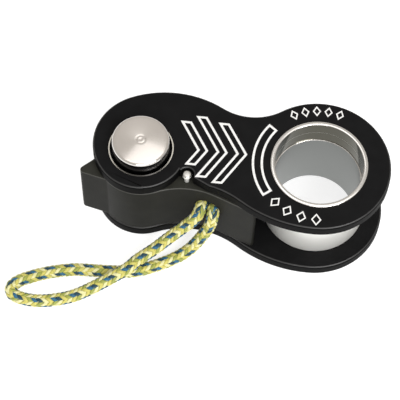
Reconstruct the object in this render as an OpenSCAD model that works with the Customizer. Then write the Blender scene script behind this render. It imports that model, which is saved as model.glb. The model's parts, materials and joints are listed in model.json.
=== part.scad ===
// Compact rope clamp: two cheeks on a pivot pin, a spring-closed cam between them,
// and a steel-lined eye for a carabiner. Millimetres. The eye's axis is Z, the device
// stands on z = 0, and the pivot lies towards -X.

/* [Frame] */
// Distance from the pivot axis to the eye axis
centre_distance = 40.1; // [39:0.1:42]
// Clear height between the two cheeks
cheek_gap = 16.9; // [16:0.1:19]
// Thickness of each cheek
cheek_t = 2.9; // [2.5:0.1:3.5]
// Height by which the eyelet lips and the riveted tail stand proud
lip_h = 0.45; // [0.3:0.05:0.6]

/* [Cheek outline] */
// Radius of the rounded end about the eye
eye_lobe_r = 16.15; // [15.5:0.05:17]
// Radius of the rounded front end about the pivot
pivot_lobe_r = 10.35; // [10:0.05:10.8]
// Radius of the shoulder behind the pivot
shoulder_r = 12.7; // [12:0.1:14]
// Radius of the long back edge
back_r = 23; // [21:0.5:26]
// Radius of the hollow waist in the back edge
back_waist_r = 12.4; // [11:0.1:14]
// Radius of the hollow waist in the front edge
front_waist_r = 19.7; // [18:0.1:21]
// Radius of the flank that runs from the front waist to the eye end
front_flank_r = 29.8; // [28:0.1:33]

/* [Eye] */
// Bore radius of the upper eyelet and of the sleeve's own bore
upper_eye_r = 10; // [9.9:0.05:10.2]
// Bore radius of the lower eyelet
lower_eye_r = 9.8; // [9.5:0.05:9.8]
// Outer radius of both eyelets where they pass through the cheeks
eyelet_r = 10.6; // [10.5:0.05:10.7]
// Outer radius of the eyelets' lips
lip_r = 10.93; // [10.9:0.01:11.2]
// Outer radius of the sleeve that the rope is pinched against
sleeve_r = 11.9; // [11.6:0.05:12.2]
// Depth of the step where the lower eyelet ends, under the upper cheek
step_depth = 3.2; // [2:0.1:6]

/* [Pivot] */
// Radius of the pin's shank
pin_r = 4; // [3.5:0.1:4.2]
// Radius of the pin's big head
head_r = 6.5; // [6:0.1:6.5]
// Height of the head over the upper cheek
head_proud = 3.8; // [3:0.1:5]
// Outer radius of the steel cup that the head sits in
cup_r = 7.34; // [7.3:0.01:7.6]
// Radius of the cup's recess round the head
cup_recess_r = 6.6; // [6.6:0.01:6.7]
// Outer radius of the riveted tail washer
tail_r = 6; // [5.5:0.1:6.5]

/* [Cam] */
// Radius of the cam's hub
hub_r = 10.2; // [10:0.05:10.3]
// Clearance between the cam and each cheek
cam_side_clear = 0.2; // [0.15:0.05:0.3]
// Radius of the hollow in the cam's front wall
cam_waist_r = 17.1; // [16.5:0.1:18]
// Number of ridges on the gripping face
ridge_count = 9; // [6:1:11]
// Depth of the ridges
ridge_depth = 0.4; // [0.2:0.05:0.5]
// Radius of the hole that the pull cord comes out of
cord_hole_r = 3.1; // [3.1:0.05:3.3]
// Height of the cord hole's axis over the ground
cord_hole_z = 12.95; // [12.9:0.05:13]

/* [Spring] */
// Mean radius of the spring's coils
spring_r = 7.15; // [7.1:0.05:7.2]
// Wire diameter
wire_d = 1.2; // [1:0.1:1.3]
// Number of turns
spring_turns = 5; // [4:1:5]

/* [Cord] */
// Diameter of the pull cord
cord_d = 3; // [2.8:0.05:3]

/* [Hidden] */

$fn = 96;
tiny = 0.02;                      // gap left round parts that are pressed together
slip = 0.05;                      // running clearance
over = 1;                         // how far a cutter reaches past the solid it cuts
arc_step = 4;                     // degrees between the points of an outline's arcs

low_bottom = lip_h;
low_top = low_bottom + cheek_t;
up_bottom = low_top + cheek_gap;
up_top = up_bottom + cheek_t;
head_top = up_top + head_proud;
step_z = up_bottom - step_depth;

pivot = [0, 0];
eye = [centre_distance, 0];
lobe_turn = 225.7;                // where the pivot lobe meets the shoulder
shoulder_turn = 116;              // where the shoulder meets the back edge
front_turn = -66;                 // where the pivot lobe meets the front waist

cup_floor_t = 1.1;
cup_bevel = cup_r - cup_recess_r;
wave_t = 0.4;
head_bottom = up_bottom + cup_floor_t + wave_t + 2 * slip;
head_edge_r = 0.7;
head_edge_turn = 80;              // how far the head's rounded edge runs before the dome
head_dome_r = 70;
dome_steps = 6;
tail_t = 1.45;
tail_end_z = 0.2;

cam_bottom = low_top + cam_side_clear;
cam_top = up_bottom - cam_side_clear;
washer_t = 0.8;
washer_r = 5.7;
washer_bore_r = pin_r + 0.1;
washer_seat = washer_t + slip - cam_side_clear;   // how deep the washers sink into the cam
bush_r = 5;
well_inner_r = 5.9;
well_outer_r = 8.4;
well_top = 13.2;

stop_r = 12.25;                   // polar place of the stop pin about the pivot
stop_angle = -26.8;
stop_shank_r = 0.55;
stop_head_r = 1.05;
stop_head_h = 1;
stop_cone_h = 0.35;
stop_edge_r = 0.5;
stop_depth = 5;
notch_r = 1.55;
notch_inner_r = 10.3;
notch_wall = 6;                   // length of the notch's straight right wall
notch_open = -80;                 // direction at which the notch runs out of the cheek
notch_step = 8;
notch_reach = 25;

nose_start = 186;                 // where the thumb nose leaves the hub
nose_end = 225;
nose_corners = [[-10.4, -2.15, 2.2], [-14.2, -5.6, 0.9]];
waist_start = -65.1;              // where the hub meets the cam's front hollow
waist_end = 69.5;                 // direction of the hollow's last point from its centre
end_corner = [27.5, -12.6, 0.7];
grip_low = [26.95, -10.8];
grip_high = [24.5, 2];
grip_r = 40;
back_corner = [24.1, 3.7, 1.2];
back_tangent = 72;                // where the cam's back edge meets the hub

cord_r = cord_d / 2;
hole_spot = [16, -8.3];           // middle of the cord hole on the cam's front wall
hole_turn = -8;                   // the hole's axis, turned from -Y
hole_wall = 3;                    // from the hole's middle to the knot's well behind it
hole_inside = 5;
hole_outside = 7;
knot_well_r = 4.5;
knot_well_h = 20;
knot_r = 4;
knot_depth = 7.6;

wire_r = wire_d / 2;
coil_bottom = 4.7;
coil_pitch = 1.45;
coil_steps = 16;                  // points in one turn
bend_rise = 0.6;                  // height in which the wire bends from a coil into a leg
leg_bottom = 1.5;
leg_top = 16;
leg_hole_r = 0.75;
leg_clear = 0.3;
spring_start = 100;
tube_facets = 8;
side_start = [1, 0.3, 0.2];       // any direction that no swept line starts in

// The cord's route about the pivot: out of the hole, over itself, round its loop and back.
cord_route = [
    [15.1, -3.6, 12.95], [14.5, -7.8, 12.95], [14.1, -9.5, 12.5], [13.3, -10.4, 11.3],
    [12.1, -11.0, 9.8], [10.1, -12.0, 8.0], [7.5, -13.7, 6.3], [4.6, -16.1, 5.1],
    [1.2, -19.0, 4.75], [-1.0, -21.5, 4.65], [-4.5, -23.9, 4.0], [-8.5, -26.2, 2.7],
    [-12.5, -28.2, 1.8], [-16.5, -29.5, 1.55], [-20.4, -30.2, 1.55], [-24.0, -30.0, 1.55],
    [-26.3, -29.2, 1.55], [-27.0, -27.7, 1.55], [-25.7, -25.9, 1.55], [-22.9, -24.4, 1.55],
    [-19.6, -23.1, 1.55], [-16.1, -22.1, 1.55], [-12.8, -21.5, 1.55], [-9.2, -21.3, 1.55],
    [-5.6, -21.2, 1.55], [-2.1, -20.9, 1.55], [1.3, -20.2, 1.55], [4.7, -18.8, 1.55],
    [8.1, -17.0, 1.6], [10.8, -15.3, 1.9], [12.9, -13.8, 2.9], [14.5, -12.4, 4.5],
    [15.8, -11.4, 6.6], [16.7, -10.8, 8.8], [17.2, -10.3, 11.1], [17.4, -9.2, 12.7],
    [17.5, -8.0, 12.95], [18.1, -4.1, 12.95],
];
route_steps = 2;                  // pieces between two of the route's points

// ---- Plane geometry ----

function polar(r, a) = [r * cos(a), r * sin(a)];

function angle_of(v) = atan2(v[1], v[0]);

// Points of an arc about c from angle a0 to angle a1, both ends included.
function arc(c, r, a0, a1) =
    let (n = max(2, ceil(abs(a1 - a0) / arc_step)))
    [for (i = [0:n]) c + polar(r, a0 + (a1 - a0) * i / n)];

// One of the two places that lie r1 from c1 and r2 from c2.
function meeting(c1, r1, c2, r2, side) =
    let (
        d = norm(c2 - c1),
        along = (d * d + r1 * r1 - r2 * r2) / (2 * d),
        off = sqrt(r1 * r1 - along * along),
        e = (c2 - c1) / d
    )
    c1 + along * e + side * off * [-e[1], e[0]];

// The arc that rounds corner c, between the points before and after it.
function rounded(before, c, after) =
    let (
        p = [c[0], c[1]],
        u = (before - p) / norm(before - p),
        v = (after - p) / norm(after - p),
        half = acos(u * v) / 2,
        w = (u + v) / norm(u + v),
        centre = p + w * c[2] / sin(half),
        a0 = angle_of(p + u * c[2] / tan(half) - centre),
        turn = angle_of(p + v * c[2] / tan(half) - centre) - a0
    )
    arc(centre, c[2], a0, a0 + (turn > 180 ? turn - 360 : turn < -180 ? turn + 360 : turn));

function flat_part(c) = [c[0], c[1]];

// The outline that both cheeks share: seven arcs, each tangent to the next.
function cheek_outline() =
    let (
        shoulder = polar(pivot_lobe_r - shoulder_r, lobe_turn),
        back = shoulder - polar(back_r - shoulder_r, shoulder_turn),
        hollow = meeting(back, back_r + back_waist_r, eye, back_waist_r + eye_lobe_r, 1),
        front = polar(pivot_lobe_r + front_waist_r, front_turn),
        flank = meeting(front, front_waist_r + front_flank_r, eye, front_flank_r - eye_lobe_r, 1),
        back_to_hollow = angle_of(hollow - back),
        hollow_to_eye = angle_of(hollow - eye),
        front_to_flank = angle_of(flank - front),
        flank_to_eye = angle_of(eye - flank)
    )
    concat(
        arc(pivot, pivot_lobe_r, front_turn, lobe_turn - 360),
        arc(shoulder, shoulder_r, lobe_turn, shoulder_turn),
        arc(back, back_r, shoulder_turn, back_to_hollow),
        arc(hollow, back_waist_r, back_to_hollow + 180, hollow_to_eye + 180),
        arc(eye, eye_lobe_r, hollow_to_eye, flank_to_eye),
        arc(flank, front_flank_r, flank_to_eye, front_to_flank - 180),
        arc(front, front_waist_r, front_to_flank, front_turn + 180)
    );

// The gripping face from its low end to its high end, with a ridge at every second point.
function grip_face() =
    let (
        half = norm(grip_high - grip_low) / 2,
        side = [grip_low[1] - grip_high[1], grip_high[0] - grip_low[0]] / (2 * half),
        centre = (grip_low + grip_high) / 2 + side * sqrt(grip_r * grip_r - half * half),
        a0 = angle_of(grip_low - centre),
        a1 = angle_of(grip_high - centre),
        n = 2 * ridge_count
    )
    [for (i = [0:n]) centre + polar(grip_r - (i % 2) * ridge_depth, a0 + (a1 - a0) * i / n)];

function cam_outline() =
    let (
        hollow = polar(hub_r + cam_waist_r, waist_start),
        hollow_last = hollow + polar(cam_waist_r, waist_end),
        hub_first = polar(hub_r, back_tangent),
        nose_from = polar(hub_r, nose_start),
        nose_to = polar(hub_r, nose_end),
        nose = nose_corners
    )
    concat(
        arc(pivot, hub_r, back_tangent, nose_start),
        rounded(nose_from, nose[0], flat_part(nose[1])),
        rounded(flat_part(nose[0]), nose[1], nose_to),
        arc(pivot, hub_r, nose_end, 360 + waist_start),
        arc(hollow, cam_waist_r, 180 + waist_start, waist_end),
        rounded(hollow_last, end_corner, grip_low),
        grip_face(),
        rounded(grip_high, back_corner, hub_first)
    );

// ---- Swept tubes ----

function unit(v) = v / norm(v);

// A smooth curve through the points p, in a number of pieces between each two.
function smooth(p, pieces) =
    let (last = len(p) - 1)
    concat(
        [for (i = [0:last - 1], j = [0:pieces - 1])
            let (
                t = j / pieces,
                a = p[max(i - 1, 0)],
                b = p[i],
                c = p[i + 1],
                d = p[min(i + 2, last)]
            )
            b + t * (c - a) / 2
                + t * t * (a - 2.5 * b + 2 * c - d / 2)
                + t * t * t * (1.5 * (b - c) + (d - a) / 2)],
        [p[last]]
    );

function directions(p) =
    let (last = len(p) - 1)
    [for (i = [0:last]) unit(p[min(i + 1, last)] - p[max(i - 1, 0)])];

// A side vector at each point, carried along the line so that the tube doesn't twist.
function sides(t, i = 0, v = side_start, done = []) =
    i == len(t) ? done :
    let (s = unit(v - (v * t[i]) * t[i]))
    sides(t, i + 1, s, concat(done, [s]));

module tube_along(p, r) {
    facets = tube_facets;
    t = directions(p);
    s = sides(t);
    rings = len(p);
    points = [for (i = [0:rings - 1], k = [0:facets - 1])
        p[i] + r * (cos(360 * k / facets) * s[i] + sin(360 * k / facets) * cross(t[i], s[i]))];
    walls = [for (i = [0:rings - 2], k = [0:facets - 1])
        let (a = i * facets + k, b = i * facets + (k + 1) % facets)
        each [[a, a + facets, b + facets], [a, b + facets, b]]];
    first = [for (k = [0:facets - 1]) k];
    last = [for (k = [facets - 1:-1:0]) (rings - 1) * facets + k];
    polyhedron(points, concat(walls, [first, last]), convexity = 10);
}

// ---- Shared solids ----

module at_pivot() {
    translate([-centre_distance, 0, 0]) children();
}

module cheek_plate(z) {
    at_pivot() translate([0, 0, z]) linear_extrude(cheek_t) polygon(cheek_outline());
}

module ring(z0, z1, inner, outer) {
    rotate_extrude() translate([inner, z0]) square([outer - inner, z1 - z0]);
}

module drill(z0, z1, r) {
    translate([0, 0, z0]) cylinder(h = z1 - z0, r = r);
}

// ---- The fixed frame ----

module lower_cheek() {
    color([0.12, 0.12, 0.13]) difference() {
        cheek_plate(low_bottom);
        drill(low_bottom - over, low_top + over, eyelet_r + tiny);
        at_pivot() drill(low_bottom - over, low_top + over, pin_r + tiny);
        at_pivot() drill(low_bottom - over, tail_t, tail_r + tiny);
        at_pivot() translate(polar(spring_r, spring_start))
            drill(leg_bottom - slip, low_top + over, leg_hole_r);
    }
}

module lower_eyelet() {
    color([0.62, 0.62, 0.61]) {
        ring(0, lip_h, lower_eye_r, lip_r);
        ring(lip_h, step_z, lower_eye_r, eyelet_r);
    }
}

module rope_sleeve() {
    color([0.82, 0.82, 0.8]) rotate_extrude() polygon([
        [eyelet_r + tiny, low_top], [sleeve_r, low_top], [sleeve_r, up_bottom - slip],
        [upper_eye_r, up_bottom - slip], [upper_eye_r, step_z + tiny], [eyelet_r + tiny, step_z + tiny],
    ]);
}

module pivot_pin() {
    crown = head_top - head_dome_r;
    shoulder_x = head_r - head_edge_r;
    edge_z = crown + sqrt(pow(head_dome_r, 2) - pow(shoulder_x, 2)) - head_edge_r;
    edge = arc([shoulder_x, edge_z], head_edge_r, 0, head_edge_turn);
    dome = [for (i = [dome_steps:-1:0])
        let (x = shoulder_x * i / dome_steps)
        [x, crown + sqrt(pow(head_dome_r, 2) - x * x)]];
    color([0.8, 0.78, 0.76]) at_pivot() rotate_extrude() polygon(concat(
        [[0, tail_end_z], [pin_r, tail_end_z], [pin_r, head_bottom], [head_r, head_bottom]],
        edge,
        dome
    ));
}

module pin_tail_washer() {
    color([0.7, 0.7, 0.7]) at_pivot() ring(0, tail_t, pin_r + tiny, tail_r);
}

module lower_thrust_washer() {
    color([0.75, 0.6, 0.3]) at_pivot() ring(low_top, low_top + washer_t, washer_bore_r, washer_r);
}

module upper_thrust_washer() {
    top = up_bottom - slip;
    color([0.75, 0.6, 0.3]) at_pivot() ring(top - washer_t + slip, top, washer_bore_r, washer_r);
}

module wave_washer() {
    z = up_bottom + cup_floor_t + slip;
    color([0.6, 0.6, 0.6]) at_pivot() ring(z, z + wave_t, washer_bore_r, washer_r);
}

module torsion_spring() {
    rise = spring_turns * coil_pitch;
    turns_deg = 360 * spring_turns;
    steps = coil_steps * spring_turns;
    coil = [for (i = [0:steps])
        let (f = i / steps, a = spring_start + f * turns_deg)
        [spring_r * cos(a), spring_r * sin(a), coil_bottom + f * rise]];
    foot = [for (z = [leg_bottom, coil_bottom - bend_rise]) [coil[0][0], coil[0][1], z]];
    tip_at = coil[steps];
    tip = [for (z = [tip_at[2] + bend_rise, leg_top]) [tip_at[0], tip_at[1], z]];
    color([0.45, 0.45, 0.47]) at_pivot() tube_along(concat(foot, coil, tip), wire_r);
}

// ---- The swinging upper cheek ----

module upper_cheek() {
    color([0.12, 0.12, 0.13]) difference() {
        cheek_plate(up_bottom);
        drill(up_bottom - over, up_top + over, eyelet_r + tiny);
        at_pivot() drill(up_bottom - over, up_top + over, cup_r + tiny);
        at_pivot() stop_notch();
    }
}

// The notch lets the stop pin swing out of the front edge, and holds it at its right end.
module stop_notch() {
    spot = polar(stop_r, stop_angle);
    z0 = up_bottom - over;
    z1 = up_top + over;
    rim = [for (a = [notch_open:notch_step:stop_angle]) polar(notch_reach, a)];
    difference() {
        union() {
            translate(spot) drill(z0, z1, notch_r);
            translate([0, 0, z0]) linear_extrude(z1 - z0)
                polygon(concat([pivot], rim, [polar(notch_reach, stop_angle)]));
            translate([spot[0], spot[1] - notch_wall, z0]) cube([notch_r, notch_wall, z1 - z0]);
        }
        drill(z0 - over, z1 + over, notch_inner_r);
    }
}

module upper_eyelet() {
    color([0.86, 0.84, 0.82]) {
        ring(up_top, up_top + lip_h, upper_eye_r, lip_r);
        ring(up_bottom, up_top, upper_eye_r, eyelet_r);
    }
}

module head_cup() {
    floor_z = up_bottom + cup_floor_t;
    color([0.8, 0.78, 0.76]) at_pivot() rotate_extrude() polygon([
        [pin_r + slip, up_bottom], [cup_r, up_bottom], [cup_r, up_top],
        [cup_recess_r, up_top - cup_bevel], [cup_recess_r, floor_z], [pin_r + slip, floor_z],
    ]);
}

// ---- The cam and what rides on it ----

module cord_drilling() {
    translate([hole_spot[0], hole_spot[1], cord_hole_z]) rotate([0, 0, hole_turn]) {
        rotate([90, 0, 0]) drill(-hole_inside, hole_outside, cord_hole_r);
        rotate([-90, 0, 0]) drill(hole_wall, hole_wall + knot_well_h, knot_well_r);
    }
}

module cam() {
    spot = polar(stop_r, stop_angle);
    leg_spot = polar(spring_r, spring_start + 360 * spring_turns);
    color([0.2, 0.2, 0.18]) at_pivot() difference() {
        translate([0, 0, cam_bottom]) linear_extrude(cam_top - cam_bottom) polygon(cam_outline());
        drill(cam_bottom - over, cam_top + over, bush_r + tiny);
        drill(cam_bottom - over, cam_bottom + washer_seat, well_inner_r);
        drill(cam_top - washer_seat, cam_top + over, well_inner_r);
        ring(cam_bottom - over, well_top, well_inner_r - tiny, well_outer_r);
        translate(leg_spot) drill(well_top - over, leg_top + leg_clear, leg_hole_r);
        translate(spot) drill(cam_top - stop_depth, cam_top + over, stop_shank_r + tiny);
        cord_drilling();
    }
}

module cam_bush() {
    color([0.72, 0.5, 0.28]) at_pivot()
        ring(cam_bottom + washer_seat, cam_top - washer_seat, pin_r + slip, bush_r);
}

module stop_pin() {
    spot = polar(stop_r, stop_angle);
    neck_z = up_top - stop_head_h;
    crown = arc([stop_head_r - stop_edge_r, up_top - stop_edge_r], stop_edge_r, 0, 90);
    color([0.75, 0.74, 0.7]) at_pivot() translate(spot) rotate_extrude() polygon(concat(
        [[0, cam_top - stop_depth], [stop_shank_r, cam_top - stop_depth], [stop_shank_r, neck_z]],
        [[stop_head_r, neck_z + stop_cone_h]],
        crown,
        [[0, up_top]]
    ));
}

module pull_cord() {
    color([0.85, 0.86, 0.42]) at_pivot() tube_along(smooth(cord_route, route_steps), cord_r);
}

module cord_knot() {
    color([0.85, 0.86, 0.42]) at_pivot()
        translate([hole_spot[0], hole_spot[1], cord_hole_z]) rotate(hole_turn)
        translate([0, knot_depth, 0]) sphere(r = knot_r);
}

lower_cheek();
lower_eyelet();
rope_sleeve();
pivot_pin();
pin_tail_washer();
lower_thrust_washer();
upper_thrust_washer();
wave_washer();
torsion_spring();
upper_cheek();
upper_eyelet();
head_cup();
cam();
cam_bush();
stop_pin();
pull_cord();
cord_knot();
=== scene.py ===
"""Looks of a compact rope clamp: black cheeks, turned steel, a dark cam and a braided pull cord."""
import json
import math

import bmesh
import bpy
from mathutils import Matrix, Vector

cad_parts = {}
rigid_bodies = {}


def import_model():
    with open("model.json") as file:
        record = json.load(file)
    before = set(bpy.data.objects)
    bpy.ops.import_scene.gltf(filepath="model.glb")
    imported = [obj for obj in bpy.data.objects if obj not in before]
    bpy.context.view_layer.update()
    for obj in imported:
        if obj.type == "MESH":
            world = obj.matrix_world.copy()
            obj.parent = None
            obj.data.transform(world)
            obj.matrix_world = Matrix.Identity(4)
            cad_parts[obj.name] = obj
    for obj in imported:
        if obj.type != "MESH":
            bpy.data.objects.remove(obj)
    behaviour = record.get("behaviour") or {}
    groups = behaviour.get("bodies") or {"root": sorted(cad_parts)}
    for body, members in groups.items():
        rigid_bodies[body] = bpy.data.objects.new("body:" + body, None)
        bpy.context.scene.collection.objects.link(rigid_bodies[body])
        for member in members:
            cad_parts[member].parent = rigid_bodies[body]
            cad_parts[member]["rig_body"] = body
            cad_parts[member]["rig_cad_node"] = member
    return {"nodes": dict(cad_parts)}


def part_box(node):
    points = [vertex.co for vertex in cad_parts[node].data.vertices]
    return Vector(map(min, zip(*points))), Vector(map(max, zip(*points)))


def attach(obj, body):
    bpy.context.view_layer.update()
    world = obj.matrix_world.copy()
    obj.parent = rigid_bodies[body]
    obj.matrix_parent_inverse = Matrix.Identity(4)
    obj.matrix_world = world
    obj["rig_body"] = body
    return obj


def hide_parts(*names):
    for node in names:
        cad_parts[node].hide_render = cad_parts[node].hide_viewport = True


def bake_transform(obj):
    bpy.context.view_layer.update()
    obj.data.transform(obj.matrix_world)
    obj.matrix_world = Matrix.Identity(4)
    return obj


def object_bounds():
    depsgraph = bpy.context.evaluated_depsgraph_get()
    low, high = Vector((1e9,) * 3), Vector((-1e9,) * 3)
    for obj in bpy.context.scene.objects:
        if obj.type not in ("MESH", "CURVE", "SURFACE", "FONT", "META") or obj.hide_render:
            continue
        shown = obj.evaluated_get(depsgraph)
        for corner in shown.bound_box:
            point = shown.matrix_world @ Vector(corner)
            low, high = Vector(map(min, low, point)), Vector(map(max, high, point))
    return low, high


MM = 0.001

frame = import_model()
cad_low, cad_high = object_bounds()

UPPER_EYELET_LOW, UPPER_EYELET_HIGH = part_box("upper_eyelet")
LOWER_EYELET_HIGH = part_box("lower_eyelet")[1]
SLEEVE_LOW, SLEEVE_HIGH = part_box("rope_sleeve")
CUP_LOW, CUP_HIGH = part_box("head_cup")
PIN_LOW, PIN_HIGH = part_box("pivot_pin")
WAVE_LOW, WAVE_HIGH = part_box("wave_washer")
STOP_LOW, STOP_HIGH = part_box("stop_pin")
SPRING_LOW, SPRING_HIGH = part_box("torsion_spring")
KNOT_LOW, KNOT_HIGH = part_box("cord_knot")
TOP_CHEEK_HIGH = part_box("upper_cheek")[1]
LOW_CHEEK_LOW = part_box("lower_cheek")[0]
CAM_LOW, CAM_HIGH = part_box("cam")

EYE = Vector((0, 0, 0))
PIVOT = (CUP_LOW + CUP_HIGH) / 2
STOP = (STOP_LOW + STOP_HIGH) / 2
KNOT = (KNOT_LOW + KNOT_HIGH) / 2


# ---- Camera ----

CAMERA_AZIMUTH = math.radians(4.23)
CAMERA_ELEVATION = math.radians(62.27)
CAMERA_ROLL = math.radians(1.73)
CAMERA_DISTANCE = 371.2 * MM
CAMERA_LENS = 145.2
CAMERA_NEAR = 10 * MM
AIM_RIGHT = -6.55 * MM            # how far the camera is shifted across its own view
AIM_UP = -4.54 * MM


def place_camera():
    """A long lens from above and in front, a little to the eye's side."""
    back = Vector((
        math.sin(CAMERA_AZIMUTH) * math.cos(CAMERA_ELEVATION),
        -math.cos(CAMERA_AZIMUTH) * math.cos(CAMERA_ELEVATION),
        math.sin(CAMERA_ELEVATION),
    ))
    level_right = (-back).cross(Vector((0, 0, 1))).normalized()
    level_up = level_right.cross(-back)
    right = level_right * math.cos(CAMERA_ROLL) + level_up * math.sin(CAMERA_ROLL)
    up = level_up * math.cos(CAMERA_ROLL) - level_right * math.sin(CAMERA_ROLL)
    middle = (PIVOT + EYE) / 2
    middle.z = (LOW_CHEEK_LOW.z + TOP_CHEEK_HIGH.z) / 2
    spot = middle + back * CAMERA_DISTANCE + right * AIM_RIGHT + up * AIM_UP
    camera = bpy.data.objects.new("camera", bpy.data.cameras.new("camera"))
    bpy.context.scene.collection.objects.link(camera)
    camera.data.lens = CAMERA_LENS
    camera.data.clip_start = CAMERA_NEAR
    camera.matrix_world = Matrix.Translation(spot) @ Matrix((right, up, back)).transposed().to_4x4()
    bpy.context.scene.camera = camera


# ---- Materials ----

def new_material(name, colour, roughness, metallic=0.0, specular=0.5):
    """A material whose even values sit on the shader's own sockets."""
    material = bpy.data.materials.new(name)
    material.use_nodes = True
    shader = material.node_tree.nodes["Principled BSDF"]
    shader.inputs["Base Color"].default_value = (*colour, 1)
    shader.inputs["Roughness"].default_value = roughness
    shader.inputs["Metallic"].default_value = metallic
    shader.inputs["Specular IOR Level"].default_value = specular
    return material, shader


def add_node(material, kind, **values):
    """A node of that kind, with its sockets set by name and its options by attribute."""
    node = material.node_tree.nodes.new(kind)
    for key, value in values.items():
        socket = key.replace("_", " ").title()
        if socket in node.inputs:
            node.inputs[socket].default_value = value
        else:
            setattr(node, key, value)
    return node


def link(material, output, target):
    material.node_tree.links.new(output, target)


def coordinates(material, stretch, source="Object"):
    """The piece's own coordinates, multiplied by stretch on each axis."""
    texture = add_node(material, "ShaderNodeTexCoord")
    mapping = add_node(material, "ShaderNodeMapping", scale=stretch)
    link(material, texture.outputs[source], mapping.inputs["Vector"])
    return mapping.outputs["Vector"]


def noise(material, vector, scale, detail=3.0):
    """Noise with that many cells in one unit of the vector."""
    texture = add_node(material, "ShaderNodeTexNoise", scale=scale, detail=detail)
    link(material, vector, texture.inputs["Vector"])
    return texture.outputs["Fac"]


def add_bump(material, shader, height, strength, distance):
    bump = add_node(material, "ShaderNodeBump", strength=strength, distance=distance)
    link(material, height, bump.inputs["Height"])
    link(material, bump.outputs["Normal"], shader.inputs["Normal"])


def vary_roughness(material, shader, factor, low, high):
    spread = add_node(material, "ShaderNodeMapRange", to_min=low, to_max=high)
    link(material, factor, spread.inputs["Value"])
    link(material, spread.outputs["Result"], shader.inputs["Roughness"])


RAMP_ENDS = (0.3, 0.7)            # the noise values at which the two colours are pure


def vary_colour(material, shader, factor, low, high):
    ramp = add_node(material, "ShaderNodeValToRGB")
    for element, position, colour in zip(ramp.color_ramp.elements, RAMP_ENDS, (low, high)):
        element.position = position
        element.color = (*colour, 1)
    link(material, factor, ramp.inputs["Fac"])
    link(material, ramp.outputs["Color"], shader.inputs["Base Color"])


EVEN = (1, 1, 1)
TURNING_LINES = (0, 1, 0)         # on a turned piece's own map, only the way along the profile counts
WIRE_LINES = (0.05, 20, 1)        # on a swept piece's own map, long marks along it
YARN_LINES = (0.8, 26, 1)
CLOUD_SCALE = 260.0               # cells in a metre
BLAST_SCALE = 5200.0
CUT_SCALE = 3000.0
LATHE_SCALE = 9.0                 # cells in a millimetre of the profile
GRAIN_DEPTH = 0.02 * MM
LATHE_DEPTH = 0.01 * MM
FILAMENT_DEPTH = 0.05 * MM
BLAST_SPREAD = 0.06               # how far the grain moves the roughness, either way
LATHE_SPREAD = 0.04
FAN_TURN = 0.25                   # a quarter turn, so that light fans out across the lathe's lines


def anodised(name, dark, light, roughness, specular):
    """Blasted and anodised aluminium: a fine grain, and faint clouds in the dye."""
    material, shader = new_material(name, light, roughness, specular=specular)
    place = coordinates(material, EVEN)
    vary_colour(material, shader, noise(material, place, CLOUD_SCALE), dark, light)
    grain = noise(material, place, BLAST_SCALE, detail=2.0)
    vary_roughness(material, shader, grain, roughness - BLAST_SPREAD, roughness + BLAST_SPREAD)
    add_bump(material, shader, grain, strength=0.25, distance=GRAIN_DEPTH)
    return material


def turned_metal(name, dark, light, roughness, line_strength, anisotropic=0.0, metallic=1.0):
    """Steel or bronze off a lathe, with fine lines round the axis."""
    material, shader = new_material(name, light, roughness, metallic=metallic)
    place = coordinates(material, TURNING_LINES, "UV")
    lines = noise(material, place, LATHE_SCALE, detail=4.0)
    vary_colour(material, shader, lines, dark, light)
    vary_roughness(material, shader, lines, roughness - LATHE_SPREAD, roughness + LATHE_SPREAD)
    add_bump(material, shader, lines, line_strength, LATHE_DEPTH)
    if anisotropic:
        shader.inputs["Anisotropic"].default_value = anisotropic
        shader.inputs["Anisotropic Rotation"].default_value = FAN_TURN
        tangent = add_node(material, "ShaderNodeTangent", direction_type="UV_MAP")
        tangent.uv_map = "turning"
        link(material, tangent.outputs["Tangent"], shader.inputs["Tangent"])
    return material


def drawn_wire(name):
    """Dark spring wire with long, faint die marks."""
    material, shader = new_material(name, (0.25, 0.25, 0.26), 0.35, metallic=1.0)
    marks = noise(material, coordinates(material, WIRE_LINES, "UV"), scale=2.0)
    vary_colour(material, shader, marks, (0.16, 0.16, 0.17), (0.34, 0.34, 0.35))
    add_bump(material, shader, marks, strength=0.2, distance=GRAIN_DEPTH)
    return material


def yarn(name, dark, light):
    """A bundle of polyester filaments, which run along the strand's own map."""
    material, shader = new_material(name, light, 0.55, specular=0.35)
    shader.inputs["Sheen Weight"].default_value = 0.25
    shader.inputs["Sheen Roughness"].default_value = 0.4
    filaments = noise(material, coordinates(material, YARN_LINES, "UV"), scale=1.0, detail=2.0)
    vary_colour(material, shader, filaments, dark, light)
    add_bump(material, shader, filaments, strength=0.6, distance=FILAMENT_DEPTH)
    return material


def bare_line(name):
    """The pale lines in the black finish."""
    material, shader = new_material(name, (0.8, 0.8, 0.79), 0.5)
    grain = noise(material, coordinates(material, EVEN), CUT_SCALE)
    vary_colour(material, shader, grain, (0.68, 0.68, 0.67), (0.88, 0.88, 0.87))
    add_bump(material, shader, grain, strength=0.2, distance=GRAIN_DEPTH)
    return material


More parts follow.
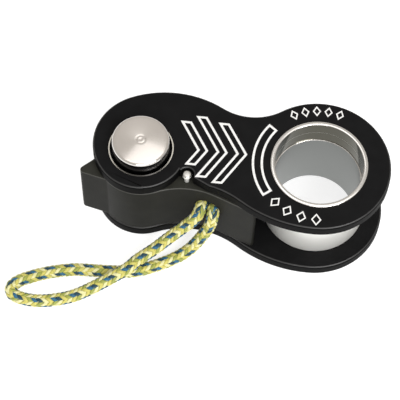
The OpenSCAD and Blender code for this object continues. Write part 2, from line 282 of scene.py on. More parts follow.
CHEEK_BLACK = anodised("cheek_black", (0.006, 0.006, 0.0063), (0.0082, 0.0082, 0.0086), 0.45, 0.06)
# a lighter, glossier copy of the black finish for the cheeks' rounded rims: a painted highlight
CHEEK_HIGHLIGHT = anodised("cheek_painted_highlight", (0.018, 0.018, 0.018), (0.027, 0.027, 0.027), 0.38, 0.4)
# a near-black copy for the line under each cheek's upper rim: painted shade
CHEEK_SHADE = anodised("cheek_shade", (0.0008, 0.0008, 0.0009), (0.0014, 0.0014, 0.0015), 0.6, 0.02)
# a darker copy of the black finish for the cheeks' walls: painted shade
CHEEK_SHADED_WALL = anodised("cheek_wall_painted_shade", (0.0026, 0.0026, 0.0027), (0.0036, 0.0036, 0.0038), 0.5, 0.03)
CAM_BLACK = anodised("cam_black", (0.0085, 0.0085, 0.007), (0.012, 0.012, 0.0098), 0.5, 0.08)
# a lighter copy of the cam's finish for its level top: painted light
CAM_LIT_TOP = anodised("cam_top", (0.022, 0.022, 0.018), (0.03, 0.03, 0.0245), 0.45, 0.1)
# a lighter, glossier copy of the cam's finish for its rounded rims: a painted highlight
CAM_HIGHLIGHT = anodised("cam_painted_highlight", (0.03, 0.03, 0.026), (0.05, 0.05, 0.044), 0.35, 0.4)
HEAD_STEEL = turned_metal("head_steel", (0.66, 0.61, 0.57), (0.76, 0.72, 0.68), 0.2, 0.1,
                          anisotropic=0.75)
POLISHED_STEEL = turned_metal("polished_steel", (0.70, 0.67, 0.64), (0.78, 0.76, 0.73), 0.12, 0.08)
SLEEVE_STEEL = turned_metal("sleeve_steel", (0.82, 0.82, 0.79), (0.9, 0.9, 0.87), 0.3, 0.12,
                            metallic=0.5)
SATIN_STEEL = turned_metal("satin_steel", (0.28, 0.29, 0.282), (0.34, 0.35, 0.342), 0.42, 0.15)
# a darker copy of polished steel for the insides of the eyelet and sleeve: painted shade
BORE_SHADE_STEEL = turned_metal("bore_painted_shade", (0.085, 0.082, 0.064), (0.14, 0.135, 0.108), 0.1, 0.08)
CUP_STEEL = turned_metal("cup_steel", (0.55, 0.52, 0.46), (0.66, 0.63, 0.57), 0.24, 0.06)
# near-black steel for the pin head's side and the cup's recess: painted shade and painted dark
# reflection
SHADE_STEEL = turned_metal("steel_painted_shade", (0.03, 0.03, 0.035), (0.05, 0.05, 0.058), 0.25, 0.1)
STOP_STEEL = turned_metal("stop_steel", (0.6, 0.59, 0.56), (0.7, 0.69, 0.66), 0.25, 0.1)
BRONZE = turned_metal("bronze", (0.5, 0.33, 0.14), (0.62, 0.43, 0.2), 0.35, 0.15)
SPRING_WIRE = drawn_wire("spring_wire")
YELLOW_YARN = yarn("yellow_yarn", (0.44, 0.40, 0.08), (0.64, 0.59, 0.16))
CREAM_YARN = yarn("cream_yarn", (0.60, 0.57, 0.25), (0.78, 0.76, 0.42))
GREEN_YARN = yarn("green_yarn", (0.22, 0.25, 0.045), (0.38, 0.41, 0.09))
BLUE_YARN = yarn("blue_yarn", (0.012, 0.07, 0.14), (0.03, 0.16, 0.28))
NAVY_YARN = yarn("navy_yarn", (0.006, 0.03, 0.05), (0.012, 0.065, 0.1))
MARK_WHITE = bare_line("mark_white")


# ---- Making pieces ----

MERGE = 0.001 * MM                # points closer than this are one point
FLAT = math.radians(0.3)          # faces that meet flatter than this are one face
SOFT = math.radians(40)           # an edge bent more than this is sharp
LATHE_STEPS = 128
FILLET_POINTS = 5
FINE_FILLET_POINTS = 8


def select_only(piece):
    bpy.ops.object.select_all(action="DESELECT")
    piece.select_set(True)
    bpy.context.view_layer.objects.active = piece


def start_editing(piece, action="SELECT"):
    select_only(piece)
    bpy.ops.object.mode_set(mode="EDIT")
    bpy.ops.mesh.select_mode(type="EDGE")
    bpy.ops.mesh.select_all(action=action)


def stop_editing():
    bpy.ops.object.mode_set(mode="OBJECT")


def settle(piece, name, body, material=None, stands_for=()):
    """Names a finished piece, gives it its finish, and says what it rides on and stands for."""
    piece.name = name
    piece.data.name = name
    if material:
        piece.data.materials.clear()
        piece.data.materials.append(material)
    if stands_for:
        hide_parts(*stands_for)
    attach(piece, body)
    return piece


def smooth_faces(piece):
    """Smooth walls and flat faces that stay flat."""
    select_only(piece)
    bpy.ops.object.shade_smooth_by_angle(angle=SOFT)
    bpy.ops.object.modifier_add(type="WEIGHTED_NORMAL")
    piece.modifiers[-1].keep_sharp = True
    bpy.ops.object.modifier_apply(modifier=piece.modifiers[-1].name)


def finished_copy(node, finish, edge_highlight, rounds):
    """A merged copy of a CAD node, whose rounds take the second material, a painted highlight. A round
    is its radius, its steps and a test of a rim's middle.
    """
    source = frame["nodes"][node]
    piece = source.copy()
    piece.data = source.data.copy()
    piece.parent = None
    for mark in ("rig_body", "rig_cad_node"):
        del piece[mark]
    piece.data.materials.clear()
    piece.data.materials.append(finish)
    piece.data.materials.append(edge_highlight)
    bpy.context.scene.collection.objects.link(piece)
    start_editing(piece)
    bpy.ops.mesh.customdata_custom_splitnormals_clear()
    bpy.ops.mesh.remove_doubles(threshold=MERGE)
    bpy.ops.mesh.dissolve_limited(angle_limit=FLAT)
    for radius, steps, test in rounds:
        round_rims(piece, radius, steps, test)
    stop_editing()
    smooth_faces(piece)
    return piece


def round_rims(piece, radius, steps, test):
    """Rounds the sharp level edges that the test picks, and paints the round with the second material,
    a lighter painted highlight.
    """
    bpy.ops.mesh.select_all(action="DESELECT")
    shape = bmesh.from_edit_mesh(piece.data)
    for edge in shape.edges:
        first, second = (vertex.co for vertex in edge.verts)
        level = abs(first.z - second.z) < MERGE
        sharp = len(edge.link_faces) == 2 and edge.calc_face_angle() > SOFT
        if level and sharp and test((first + second) / 2):
            edge.select = True
    bmesh.update_edit_mesh(piece.data)
    bpy.ops.mesh.bevel(offset=radius, segments=steps, profile=0.5, affect="EDGES",
                       clamp_overlap=False, material=1)


def flat_distance(a, b):
    return math.hypot(a.x - b.x, a.y - b.y)


def fillet(centre, radius, start, end, points=FILLET_POINTS):
    """Points of an arc about a centre (radius, height), in millimetres and degrees."""
    angles = [math.radians(start + (end - start) * i / (points - 1)) for i in range(points)]
    return [(centre[0] + radius * math.cos(a), centre[1] + radius * math.sin(a)) for a in angles]


def turned(profile, centre):
    """A closed profile of (radius, height) points in millimetres, spun about an upright axis."""
    on_axis = profile[0][0] == 0 and profile[-1][0] == 0
    bpy.ops.object.select_all(action="DESELECT")
    bpy.ops.mesh.primitive_circle_add(vertices=len(profile), radius=1, fill_type="NOTHING")
    piece = bpy.context.object
    for vertex, (radius, height) in zip(piece.data.vertices, profile):
        vertex.co = (centre.x + radius * MM, centre.y, height * MM)
    start_editing(piece, "DESELECT")
    if on_axis:
        shape = bmesh.from_edit_mesh(piece.data)
        for edge in shape.edges:
            edge.select = all(abs(vertex.co.x - centre.x) < MERGE for vertex in edge.verts)
        bmesh.update_edit_mesh(piece.data)
        bpy.ops.mesh.delete(type="EDGE")
    bpy.ops.mesh.select_all(action="SELECT")
    bpy.ops.mesh.spin(steps=LATHE_STEPS, angle=math.tau, center=(centre.x, centre.y, 0),
                      axis=(0, 0, 1))
    bpy.ops.mesh.select_all(action="SELECT")
    bpy.ops.mesh.remove_doubles(threshold=MERGE)
    bpy.ops.mesh.normals_make_consistent(inside=False)
    stop_editing()
    map_turning(piece, centre)
    smooth_faces(piece)
    return piece


def map_turning(piece, centre):
    """A map that runs once round the axis one way, and in millimetres along the profile the other."""
    layer = piece.data.uv_layers.new(name="turning")
    for polygon in piece.data.polygons:
        spots = [piece.data.vertices[index].co for index in polygon.vertices]
        turns = [math.atan2(spot.y - centre.y, spot.x - centre.x) / math.tau % 1 for spot in spots]
        radii = [flat_distance(spot, centre) for spot in spots]
        if max(turns) - min(turns) > 0.5:
            turns = [turn + 1 if turn < 0.5 else turn for turn in turns]
        off_axis = [turn for turn, radius in zip(turns, radii) if radius > MERGE]
        middle = sum(off_axis) / len(off_axis)
        for index, turn, radius, spot in zip(polygon.loop_indices, turns, radii, spots):
            around = turn if radius > MERGE else middle
            layer.data[index].uv = (around, (radius + spot.z) / MM)


# ---- Swept strands ----

def smooth(points, extra):
    """A smooth curve through the points, with extra points between them."""
    last = len(points) - 1
    curve = []
    for i in range(last):
        a, b, c, d = (points[max(0, min(last, i + k))] for k in (-1, 0, 1, 2))
        for step in range(extra):
            t = step / extra
            curve.append(
                b + t * (c - a) / 2
                + t ** 2 * (a - 2.5 * b + 2 * c - d / 2)
                + t ** 3 * (1.5 * (b - c) + (d - a) / 2)
            )
    return curve + [points[last]]


def length_of(points):
    return sum((b - a).length for a, b in zip(points, points[1:]))


def evenly(points, gap):
    """Points along the line, close to gap apart, both ends kept."""
    total = length_of(points)
    count = max(2, round(total / gap))
    spots = [points[0]]
    passed = 0.0
    for a, b in zip(points, points[1:]):
        step = (b - a).length
        while len(spots) < count and passed + step >= total * len(spots) / count:
            spots.append(a.lerp(b, (total * len(spots) / count - passed) / step))
        passed += step
    return spots + [points[-1]]


FIRST_SIDE = Vector((1, 0.3, 0.2))    # no path sets off along this


def carried_frames(points):
    """The heading and a side at each point, carried along so that nothing twists."""
    last = len(points) - 1
    side = FIRST_SIDE
    frames = []
    for i in range(last + 1):
        heading = (points[min(i + 1, last)] - points[max(i - 1, 0)]).normalized()
        side = (side - heading * side.dot(heading)).normalized()
        frames.append((heading, side))
    return frames


class Sweep:
    """Gathers tubes into one mesh, each with its own map and material."""

    def __init__(self):
        self.vertices = []
        self.faces = []
        self.maps = []
        self.kinds = []

    def add(self, centres, outs, acrosses, section, kind):
        """A closed tube. section gives each corner's place across and out, in metres."""
        first = len(self.vertices)
        corners = len(section)
        for centre, out, across in zip(centres, outs, acrosses):
            self.vertices += [centre + across * x + out * y for x, y in section]
        along = [0.0]
        for a, b in zip(centres, centres[1:]):
            along.append(along[-1] + (b - a).length / MM)
        for ring in range(len(centres) - 1):
            low = first + ring * corners
            for k in range(corners):
                after = (k + 1) % corners
                self.faces.append((low + k, low + after, low + corners + after, low + corners + k))
                near, far = along[ring], along[ring + 1]
                left, right = k / corners, (k + 1) / corners
                self.maps += [(near, left), (near, right), (far, right), (far, left)]
                self.kinds.append(kind)
        for start, order in ((first, -1), (len(self.vertices) - corners, 1)):
            self.faces.append(tuple(range(start, start + corners))[::order])
            self.maps += [(0.0, 0.0)] * corners
            self.kinds.append(kind)

    def build(self, name, materials):
        mesh = bpy.data.meshes.new(name)
        mesh.from_pydata(self.vertices, [], self.faces)
        layer = mesh.uv_layers.new(name="strand")
        for entry, place in zip(layer.data, self.maps):
            entry.uv = place
        for material in materials:
            mesh.materials.append(material)
        for polygon, kind in zip(mesh.polygons, self.kinds):
            polygon.material_index = kind
            polygon.use_smooth = True
        piece = bpy.data.objects.new(name, mesh)
        bpy.context.scene.collection.objects.link(piece)
        return piece


def round_section(radius, corners):
    turns = [math.tau * k / corners for k in range(corners)]
    return [(radius * math.cos(turn), radius * math.sin(turn)) for turn in turns]


# ---- The pull cord and its knot ----

ROUTE_STEPS = 8                   # steps between two points of the route
CORD_ROUTE = [                    # millimetres from the pivot's axis and from the floor
    [15.1, -3.6, 12.95], [14.5, -7.8, 12.95], [14.1, -9.5, 12.5], [13.3, -10.4, 11.3],
    [12.1, -11.0, 9.8], [10.1, -12.0, 8.0], [7.5, -13.7, 6.3], [4.6, -16.1, 5.1],
    [1.2, -19.0, 4.75], [-1.0, -21.5, 4.65], [-4.5, -23.9, 4.0], [-8.5, -26.2, 2.7],
    [-12.5, -28.2, 1.8], [-16.5, -29.5, 1.55], [-20.4, -30.2, 1.55], [-24.0, -30.0, 1.55],
    [-26.3, -29.2, 1.55], [-27.0, -27.7, 1.55], [-25.7, -25.9, 1.55], [-22.9, -24.4, 1.55],
    [-19.6, -23.1, 1.55], [-16.1, -22.1, 1.55], [-12.8, -21.5, 1.55], [-9.2, -21.3, 1.55],
    [-5.6, -21.2, 1.55], [-2.1, -20.9, 1.55], [1.3, -20.2, 1.55], [4.7, -18.8, 1.55],
    [8.1, -17.0, 1.6], [10.8, -15.3, 1.9], [12.9, -13.8, 2.9], [14.5, -12.4, 4.5],
    [15.8, -11.4, 6.6], [16.7, -10.8, 8.8], [17.2, -10.3, 11.1], [17.4, -9.2, 12.7],
    [17.5, -8.0, 12.95], [18.1, -4.1, 12.95],
]

BRAID_LAY = 8.8 * MM              # way along the cord in which a strand goes once round
BRAID_R = 1.12 * MM
BRAID_WEAVE = 0.16 * MM           # how far a strand rises and dips as it crosses the others
BRAID_STEPS = 36                  # rings in one lay
STRANDS = 8                       # strands that wind each way
WEAVE_WAVES = 4                   # times a strand rises in one lay
STRAND_HALF_WIDTH = 0.4 * MM
STRAND_HALF_DEPTH = 0.24 * MM
STRAND_CORNERS = ((1, 0), (0.55, 0.85), (-0.55, 0.85), (-1, 0), (-0.55, -0.85), (0.55, -0.85))
STRAND_SECTION = [(STRAND_HALF_WIDTH * x, STRAND_HALF_DEPTH * y) for x, y in STRAND_CORNERS]
CORE_R = 0.95 * MM
CORE_CORNERS = 10
YARNS = [YELLOW_YARN, CREAM_YARN, GREEN_YARN, BLUE_YARN, NAVY_YARN]
YELLOW, CREAM, GREEN, BLUE, NAVY = range(5)
CLOCKWISE_YARNS = [BLUE, NAVY, YELLOW, GREEN, BLUE, NAVY, CREAM, YELLOW]
COUNTER_YARNS = [CREAM, YELLOW, CREAM, GREEN, YELLOW, CREAM, GREEN, YELLOW]


def braid(name, line):
    """A cord braided from strands that wind both ways over and under each other, round a core."""
    spots = evenly(line, BRAID_LAY / BRAID_STEPS)
    frames = carried_frames(spots)
    gap = length_of(spots) / (len(spots) - 1)
    lean = math.atan(math.tau * BRAID_R / BRAID_LAY)
    sweep = Sweep()
    core_sides = [side for heading, side in frames]
    core_outs = [heading.cross(side) for heading, side in frames]
    sweep.add(spots, core_outs, core_sides, round_section(CORE_R, CORE_CORNERS), GREEN)
    for winding, yarns in ((1, CLOCKWISE_YARNS), (-1, COUNTER_YARNS)):
        for strand, kind in enumerate(yarns):
            centres, outs, acrosses = [], [], []
            for i, (spot, (heading, side)) in enumerate(zip(spots, frames)):
                turn = math.tau * (winding * i * gap / BRAID_LAY + strand / STRANDS)
                other = heading.cross(side)
                out = side * math.cos(turn) + other * math.sin(turn)
                around = other * math.cos(turn) - side * math.sin(turn)
                along = heading * math.cos(lean) + around * (winding * math.sin(lean))
                lift = winding * BRAID_WEAVE * math.cos(WEAVE_WAVES * turn)
                centres.append(spot + out * (BRAID_R + lift))
                outs.append(out)
                acrosses.append(out.cross(along))
            sweep.add(centres, outs, acrosses, STRAND_SECTION, kind)
    return sweep.build(name, YARNS)


def make_pull_cord():
    route = [Vector((PIVOT.x + x * MM, y * MM, z * MM)) for x, y, z in CORD_ROUTE]
    line = smooth(route, ROUTE_STEPS)
    knot = make_knot()
    cord = settle(braid("pull_cord_braid", line), "pull_cord_braid", "cam_arm",
                  stands_for=["pull_cord"])


KNOT_LOOP = 1.25 * MM
KNOT_POINTS = 60


def make_knot():
    """The overhand knot that joins the cord's ends in its well in the cam."""
    line = []
    for i in range(KNOT_POINTS + 1):
        a = math.tau * i / KNOT_POINTS
        line.append(KNOT + KNOT_LOOP * Vector((
            math.sin(a) + math.sin(2 * a) / 2,
            math.sin(3 * a),
            math.cos(a) - math.cos(2 * a) / 2,
        )))
    return settle(braid("pull_cord_knot", line), "pull_cord_knot", "cam_arm",
                  stands_for=["cord_knot"])


# ---- Cheeks and cam ----

WALL_TILT = 0.3                   # the normal of a wall rises no more than this
RIM_TILT = 0.6                    # the dark line under a cheek's rim lies between these two
SHOULDER_TILT = 0.95              # the normal of a level face rises more than this


def paint_faces(piece, material, test):
    """Gives the faces that pass the test a material of their own: a finish, or painted light or shade.
    """
    if material.name not in piece.data.materials:
        piece.data.materials.append(material)
    finish = piece.data.materials.find(material.name)
    for polygon in piece.data.polygons:
        if test(polygon.center, polygon.normal):
            polygon.material_index = finish


CHEEK_ROUND = 0.55 * MM           # the upper rims of the cheeks
CHEEK_STEPS = 5
CHEEK_LOW_ROUND = 0.18 * MM       # and the lower ones
CHEEK_LOW_STEPS = 2
CAM_ROUND = 0.25 * MM
CAM_STEPS = 3
HOLE_GUARD = 0.3 * MM             # rims this close to a pressed ring stay sharp
CAM_WELL_R = 9.5 * MM             # the spring's well in the cam lies inside this


def clear_of_holes(spot):
    """True for the rims round the outline, and not for the holes that a pressed ring fills."""
    eye_hole = UPPER_EYELET_HIGH.x + HOLE_GUARD
    pivot_hole = CUP_HIGH.x - PIVOT.x + HOLE_GUARD
    return flat_distance(spot, EYE) > eye_hole and flat_distance(spot, PIVOT) > pivot_hole


def make_cheeks():
    for node, body in (("upper_cheek", "swing_cheek"), ("lower_cheek", "frame")):
        low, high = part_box(node)
        half_way = (low.z + high.z) / 2
        plate = finished_copy(node, CHEEK_BLACK, CHEEK_HIGHLIGHT, [
            (CHEEK_ROUND, CHEEK_STEPS,
             lambda spot: spot.z > half_way and clear_of_holes(spot)),
            (CHEEK_LOW_ROUND, CHEEK_LOW_STEPS,
             lambda spot: spot.z < half_way and clear_of_holes(spot)),
        ])
        settle(plate, node + "_plate", body, stands_for=[node])
        # Level faces keep the black finish, the band under each upper rim gets painted shade, and the
        # walls a darker copy of the finish, also painted shade.
        paint_faces(plate, CHEEK_BLACK, lambda spot, normal: normal.z > SHOULDER_TILT)
        paint_faces(plate, CHEEK_SHADE, lambda spot, normal: WALL_TILT < normal.z < RIM_TILT)
        paint_faces(plate, CHEEK_SHADED_WALL, lambda spot, normal: abs(normal.z) < WALL_TILT)


def make_cam():
    def on_outline(spot):
        ends = abs(spot.z - CAM_LOW.z) < MERGE or abs(spot.z - CAM_HIGH.z) < MERGE
        off_stop = flat_distance(spot, STOP) > STOP_HIGH.x - STOP.x
        return ends and off_stop and flat_distance(spot, PIVOT) > CAM_WELL_R

    arm = finished_copy("cam", CAM_BLACK, CAM_HIGHLIGHT, [(CAM_ROUND, CAM_STEPS, on_outline)])
    settle(arm, "cam_arm_body", "cam_arm", stands_for=["cam"])
    # the level top takes the lighter copy: painted light
    paint_faces(arm, CAM_LIT_TOP, lambda spot, normal: normal.z > SHOULDER_TILT)


# ---- The spring ----

WIRE_R = 0.6 * MM
SPRING_R = 7.15 * MM
SPRING_START = math.radians(100)
SPRING_TURNS = 5
COIL_BOTTOM = 4.7 * MM
COIL_PITCH = 1.45 * MM
COIL_STEPS = 48                   # rings in one turn
LEG_BEND = 0.9 * MM               # height over which the wire turns from its leg into the coil
WIRE_CORNERS = 12


def make_spring():
    """The torsion spring, built as one still piece. On the clamp its lower leg stays in the cheek and
    its upper leg turns with the cam.
    """
    coil = []
    for i in range(COIL_STEPS * SPRING_TURNS + 1):
        turns = i / COIL_STEPS
        a = SPRING_START + math.tau * turns
        flat = Vector((PIVOT.x + SPRING_R * math.cos(a), SPRING_R * math.sin(a), 0))
        coil.append(flat + Vector((0, 0, COIL_BOTTOM + turns * COIL_PITCH)))
    foot, tip = coil[0].copy(), coil[-1].copy()
    foot.z = SPRING_LOW.z
    tip.z = SPRING_HIGH.z
    line = evenly([foot, coil[0] - Vector((0, 0, LEG_BEND))], WIRE_R)
    line += coil[2:-2]
    line += evenly([coil[-1] + Vector((0, 0, LEG_BEND)), tip], WIRE_R)
    sweep = Sweep()
    frames = carried_frames(line)
    outs = [heading.cross(side) for heading, side in frames]
    sweep.add(line, outs, [side for heading, side in frames], round_section(WIRE_R, WIRE_CORNERS), 0)
    spring = sweep.build("closing_spring", [SPRING_WIRE])
    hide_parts("torsion_spring")
    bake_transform(spring)


# ---- Turned parts ----

# Radii and heights here are in millimetres.
UPPER_BORE = 10.0
LOWER_BORE = 9.8
EYELET_WALL = 10.6
SLEEVE_GAP = 0.02
EDGE = 0.18                       # rounding of the turned edges
SMALL_EDGE = 0.1                  # and of the fine ones


def level(value):
    """A length of the frame in millimetres."""
    return value / MM


def make_upper_eyelet():
    lip_r = level(UPPER_EYELET_HIGH.x)
    bottom = level(UPPER_EYELET_LOW.z)
    top = level(UPPER_EYELET_HIGH.z)
    lip_bottom = level(TOP_CHEEK_HIGH.z)
    ring = turned(
        [(UPPER_BORE, bottom)]
        + fillet((UPPER_BORE + EDGE, top - EDGE), EDGE, 180, 90)
        + fillet((lip_r - EDGE, top - EDGE), EDGE, 90, 0)
        + [(lip_r, lip_bottom), (EYELET_WALL, lip_bottom), (EYELET_WALL, bottom)], EYE)
    settle(ring, "upper_eyelet_ring", "swing_cheek", POLISHED_STEEL,
           ["upper_eyelet"])
    bore = (UPPER_BORE + SMALL_EDGE) * MM

    def in_bore(spot, normal):
        return abs(normal.z) < WALL_TILT and flat_distance(spot, EYE) < bore

    # the bore takes the darker steel: painted shade
    paint_faces(ring, BORE_SHADE_STEEL, in_bore)


def make_lower_eyelet():
    lip_r = level(LOWER_EYELET_HIGH.x)
    top = level(LOWER_EYELET_HIGH.z)
    lip_top = level(LOW_CHEEK_LOW.z)
    tube = turned(
        fillet((LOWER_BORE + EDGE, EDGE), EDGE, 270, 180)
        + fillet((LOWER_BORE + SMALL_EDGE, top - SMALL_EDGE), SMALL_EDGE, 180, 90)
        + [(EYELET_WALL, top), (EYELET_WALL, lip_top), (lip_r, lip_top)]
        + fillet((lip_r - EDGE, EDGE), EDGE, 0, -90), EYE)
    settle(tube, "lower_eyelet_tube", "frame", SATIN_STEEL, ["lower_eyelet"])
    paint_faces(tube, POLISHED_STEEL, lambda spot, normal: spot.z > LOWER_EYELET_HIGH.z - EDGE * MM)


def make_sleeve():
    wall = level(SLEEVE_HIGH.x)
    bottom = level(SLEEVE_LOW.z)
    top = level(SLEEVE_HIGH.z)
    step = level(LOWER_EYELET_HIGH.z) + SLEEVE_GAP
    inner = EYELET_WALL + SLEEVE_GAP
    sleeve = turned(
        [(inner, step), (inner, bottom)]
        + fillet((wall - EDGE, bottom + EDGE), EDGE, -90, 0)
        + fillet((wall - EDGE, top - EDGE), EDGE, 0, 90)
        + [(UPPER_BORE, top), (UPPER_BORE, step)], EYE)
    settle(sleeve, "rope_sleeve_turned", "frame", SLEEVE_STEEL, ["rope_sleeve"])
    # the sleeve's inside takes the bore's darker steel: painted shade
    paint_faces(sleeve, BORE_SHADE_STEEL, lambda spot, normal: flat_distance(spot, EYE) < inner * MM)


PIN_R = 4.0
WAVE_ROOM = 0.05                  # room over the wave washer, and under it
HEAD_EDGE = 0.7                   # rounding of the head's rim
HEAD_EDGE_TURN = 85               # degrees that it turns before it meets the dome
HEAD_DOME = 70.0
DOME_STEPS = 10
HEAD_FACE_TILT = 0.9              # the head's face is flatter than this, and its rounded edge isn't
DISH_DEPTH = 0.35                 # the dish that riveting leaves in the tail
DISH_FLOOR_R = 2.2
DISH_R = 3.0
MARK_R = 0.95                     # ring that the lathe's centre leaves on the head
MARK_HALF_WIDTH = 0.12
MARK_DEPTH = 0.025
CENTRE_R = 0.32                   # the small pit in the ring's middle
CENTRE_SLOPE = 0.06               # half the width of the pit's slope
CENTRE_DEPTH = 0.01               # how deep the pit is in its own middle


def make_pin():
    head_r = level(PIN_HIGH.x - PIVOT.x)
    low, top = level(PIN_LOW.z), level(PIN_HIGH.z)
    head_bottom = level(WAVE_HIGH.z) + WAVE_ROOM
    crown = top - HEAD_DOME

    def dome(radius):
        return crown + math.sqrt(HEAD_DOME ** 2 - radius ** 2)

    dish = low + DISH_DEPTH
    tail = [(0, dish), (DISH_FLOOR_R, dish), (DISH_R, low), (PIN_R - EDGE, low), (PIN_R, low + EDGE)]
    under = [(PIN_R, head_bottom), (head_r - EDGE, head_bottom), (head_r, head_bottom + EDGE)]
    rim_r = head_r - HEAD_EDGE
    rim = fillet((rim_r, dome(rim_r) - HEAD_EDGE), HEAD_EDGE, 0, HEAD_EDGE_TURN, FINE_FILLET_POINTS)
    outward = [MARK_R + MARK_HALF_WIDTH + (rim_r - MARK_R) * i / DOME_STEPS
               for i in range(DOME_STEPS)]
    face = [(radius, dome(radius)) for radius in reversed(outward)]
    groove = [(MARK_R, dome(MARK_R) - MARK_DEPTH), (MARK_R - MARK_HALF_WIDTH, dome(MARK_R))]
    centre = [
        (CENTRE_R + CENTRE_SLOPE, dome(CENTRE_R)),
        (CENTRE_R - CENTRE_SLOPE, dome(CENTRE_R) - MARK_DEPTH),
        (0, top - CENTRE_DEPTH),
    ]
    pin = turned(tail + under + rim + face + groove + centre, PIVOT)
    settle(pin, "pivot_pin_turned", "frame", HEAD_STEEL, ["pivot_pin"])
    paint_faces(pin, POLISHED_STEEL, lambda spot, normal: normal.z < HEAD_FACE_TILT)
    # the pin's upright walls, the head's side among them, take near-black steel: painted shade
    paint_faces(pin, SHADE_STEEL, lambda spot, normal: abs(normal.z) < WALL_TILT)


CUP_RECESS = 6.6                  # radius of the recess that the head sits in
CUP_BORE = 4.05
CUP_LAND = 0.28                   # width of the flat rim outside the cup's bevel


def make_cup():
    wall = level(CUP_HIGH.x - PIVOT.x)
    bottom, top = level(CUP_LOW.z), level(CUP_HIGH.z)
    bevel_bottom = top - wall + CUP_RECESS
    floor = level(WAVE_LOW.z) - WAVE_ROOM
    cup = turned([
        (CUP_BORE, bottom), (wall, bottom), (wall, top), (wall - CUP_LAND, top),
        (CUP_RECESS, bevel_bottom), (CUP_RECESS, floor), (CUP_BORE, floor),
    ], PIVOT)
    settle(cup, "head_cup_turned", "swing_cheek", CUP_STEEL, ["head_cup"])
    # the recess and all else below the cup's bevel take near-black steel: painted shade
    paint_faces(cup, SHADE_STEEL, lambda spot, normal: spot.z < bevel_bottom * MM)


def plain_ring(inner, outer, bottom, top, edge):
    """A ring whose four edges are broken."""
    return turned([
        (inner, bottom + edge), (inner + edge, bottom), (outer - edge, bottom), (outer, bottom + edge),
        (outer, top - edge), (outer - edge, top), (inner + edge, top), (inner, top - edge),
    ], PIVOT)


WASHER_BORE = 4.1
TAIL_BORE = 4.02
WAVE_DEPTH = 0.04 * MM
WAVES = 3
RINGS = [                         # node, bore, broken edge, body, finish and slot
    ("pin_tail_washer", TAIL_BORE, 0.3, "frame", SATIN_STEEL, "satin_steel"),
    ("lower_thrust_washer", WASHER_BORE, 0.12, "frame", BRONZE, "bronze"),
    ("upper_thrust_washer", WASHER_BORE, 0.12, "frame", BRONZE, "bronze"),
    ("cam_bush", CUP_BORE, 0.25, "cam_arm", BRONZE, "bronze"),
    ("wave_washer", WASHER_BORE, 0.08, "frame", SPRING_WIRE, "spring_steel"),
]


def make_rings():
    for node, bore, edge, body, finish, slot in RINGS:
        low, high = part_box(node)
        ring = plain_ring(bore, level(high.x - PIVOT.x), level(low.z), level(high.z), edge)
        if node == "wave_washer":
            for vertex in ring.data.vertices:
                turn = math.atan2(vertex.co.y, vertex.co.x - PIVOT.x)
                vertex.co.z += WAVE_DEPTH * math.sin(WAVES * turn)
        settle(ring, node + "_turned", body, finish, [node])


STOP_SHANK = 0.55
STOP_CONE = 0.35
STOP_HEAD_H = 1.0
STOP_ROUND = 0.5


def make_stop_pin():
    head_r = level(STOP_HIGH.x - STOP.x)
    low, top = level(STOP_LOW.z), level(STOP_HIGH.z)
    neck = top - STOP_HEAD_H
    pin = turned(
        [(0, low), (STOP_SHANK - SMALL_EDGE, low), (STOP_SHANK, low + SMALL_EDGE)]
        + [(STOP_SHANK, neck), (head_r, neck + STOP_CONE)]
        + fillet((head_r - STOP_ROUND, top - STOP_ROUND), STOP_ROUND, 0, 90, FINE_FILLET_POINTS)
        + [(0, top)], STOP)
    settle(pin, "stop_pin_turned", "cam_arm", STOP_STEEL, ["stop_pin"])
    paint_faces(pin, SLEEVE_STEEL, lambda spot, normal: normal.z < WALL_TILT)


# ---- Pale lines in the finish of the upper cheek ----

STROKE = 0.52 * MM
FINE_STROKE = 0.3 * MM
MARK_SUNK = 0.01 * MM             # how far a line's underside lies below the cheek's top
MARK_PROUD = 0.012 * MM           # and its upper side above it


def outlined(corners, stroke):
    """A flat shape's outline, as a band of even width on the upper cheek. Millimetres from the eye."""
    bpy.ops.object.select_all(action="DESELECT")
    bpy.ops.mesh.primitive_circle_add(vertices=len(corners), radius=1, fill_type="NGON")
    mark = bpy.context.object
    for vertex, (x, y) in zip(mark.data.vertices, corners):
        vertex.co = (x * MM, y * MM, TOP_CHEEK_HIGH.z - MARK_SUNK)
    start_editing(mark)
    bpy.ops.mesh.select_mode(type="FACE")
    bpy.ops.mesh.select_all(action="SELECT")
    bpy.ops.mesh.inset(thickness=stroke, use_even_offset=True)
    bpy.ops.mesh.delete(type="FACE")
    bpy.ops.mesh.select_all(action="SELECT")
    lift = {"value": (0, 0, MARK_SUNK + MARK_PROUD)}
    bpy.ops.mesh.extrude_region_move(TRANSFORM_OT_translate=lift)
    bpy.ops.mesh.select_all(action="SELECT")
    bpy.ops.mesh.normals_make_consistent(inside=False)
    stop_editing()
    return mark


ARC_STEP = 4                      # degrees between two points


def arc_points(radius, start, end):
    count = max(2, round(abs(end - start) / ARC_STEP))
    angles = [math.radians(start + (end - start) * i / count) for i in range(count + 1)]
    return [(radius * math.cos(a), radius * math.sin(a)) for a in angles]


# Lengths here are in millimetres from the eye's axis, and angles in degrees round it.
ARROW_TIPS = (-25.0, -20.6, -16.2)    # where the arrows point to
ARROW_BACKS = (8.0, 9.6, 8.4)         # how far each arrow's back arm reaches
ARROW_FRONTS = (-3.2, -6.1, -7.2)     # and its front arm
ARROW_W = 2.5
ARROW_SLOPE = 0.62
ARROW_Y = 0.8
BAND = (12.6, 15.1)                   # radii of the band beside the eye
BAND_TURN = (142, 218)
LOZENGE_R = 13.85
BACK_LOZENGES = (118, 107, 96, 85, 74)
BACK_LOZENGE_HALVES = (0.95, 1.35)    # half a lozenge's size, across and outward
FRONT_LOZENGES = (-131, -117, -103, -89)
FRONT_LOZENGE_HALVES = (1.15, 1.5)


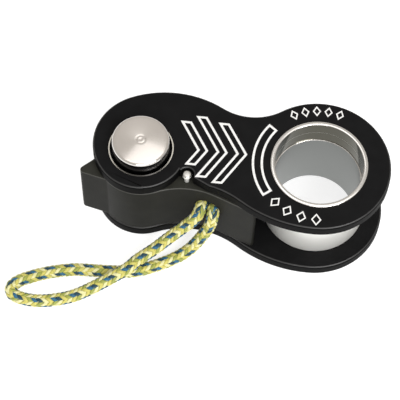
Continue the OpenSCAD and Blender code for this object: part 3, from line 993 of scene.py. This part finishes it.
def arrow(tip, back, front):
    def edge(x, y):
        return (x - abs(y - ARROW_Y) * ARROW_SLOPE, y)

    outer = [edge(tip, back), (tip, ARROW_Y), edge(tip, front)]
    inner = [edge(tip - ARROW_W, front), (tip - ARROW_W, ARROW_Y), edge(tip - ARROW_W, back)]
    return outer + inner


def lozenge(angle, half_across, half_out):
    """A lozenge on the ring of marks round the eye."""
    a = math.radians(angle)
    out = Vector((math.cos(a), math.sin(a)))
    across = Vector((-out.y, out.x))
    middle = out * LOZENGE_R
    corners = [across * half_across, out * half_out, -across * half_across, -out * half_out]
    return [tuple(middle + corner) for corner in corners]


def make_marks():
    marks = [outlined(arrow(*sizes), STROKE) for sizes in zip(ARROW_TIPS, ARROW_BACKS, ARROW_FRONTS)]
    band = arc_points(BAND[0], *BAND_TURN) + arc_points(BAND[1], *reversed(BAND_TURN))
    marks.append(outlined(band, STROKE))
    for angles, halves in ((BACK_LOZENGES, BACK_LOZENGE_HALVES),
                           (FRONT_LOZENGES, FRONT_LOZENGE_HALVES)):
        marks += [outlined(lozenge(angle, *halves), FINE_STROKE) for angle in angles]
    bpy.ops.object.select_all(action="DESELECT")
    for mark in marks:
        mark.select_set(True)
    bpy.context.view_layer.objects.active = marks[0]
    bpy.ops.object.join()
    settle(marks[0], "cheek_lines", "swing_cheek", MARK_WHITE)


# ---- Floor and lights ----

FLOOR_SIZE = 4
FLOOR_GAP = 0.05 * MM             # between the floor and the clamp's underside
FLOOR_COLOUR = (0.5, 0.5, 0.5)
FLOOR_GLOW = 0.75
WORLD_COLOUR = (0.62, 0.6, 0.57, 1)
SOFT_BOXES = [                    # name, place, width in metres and power in watts
    ("top_box", (0.06, 0.1, 1.2), 0.85, 2.7),
    ("key_box", (0.5, -0.6, 0.9), 0.5, 8),
    ("front_box", (0.1, -1.2, 0.55), 0.6, 4.5),
]


def make_floor():
    """A white floor that glows a little, so that it stays white between the lights."""
    bpy.ops.object.select_all(action="DESELECT")
    bpy.ops.mesh.primitive_plane_add(size=FLOOR_SIZE, location=(0, 0, cad_low.z - FLOOR_GAP))
    floor = bpy.context.object
    floor.name = "floor"
    material, shader = new_material("floor_white", FLOOR_COLOUR, 0.8, specular=0.1)
    shader.inputs["Emission Color"].default_value = (1, 1, 1, 1)
    shader.inputs["Emission Strength"].default_value = FLOOR_GLOW
    floor.data.materials.append(material)


def soft_light(name, place, width, power):
    """A square soft box that faces the object."""
    light = bpy.data.objects.new(name, bpy.data.lights.new(name, "AREA"))
    bpy.context.scene.collection.objects.link(light)
    light.data.size = width
    light.data.energy = power
    light.location = place
    light.rotation_euler = (-Vector(place)).to_track_quat("-Z", "Y").to_euler()


def light_room():
    world = bpy.data.worlds.new("studio")
    world.use_nodes = True
    world.node_tree.nodes["Background"].inputs["Color"].default_value = WORLD_COLOUR
    bpy.context.scene.world = world
    bpy.context.scene.view_settings.view_transform = "Standard"
    for box in SOFT_BOXES:
        soft_light(*box)


# ---- The scene ----

place_camera()
make_pull_cord()
make_spring()
make_cheeks()
make_cam()
make_upper_eyelet()
make_lower_eyelet()
make_sleeve()
make_pin()
make_cup()
make_rings()
make_stop_pin()
make_marks()
make_floor()
light_room()
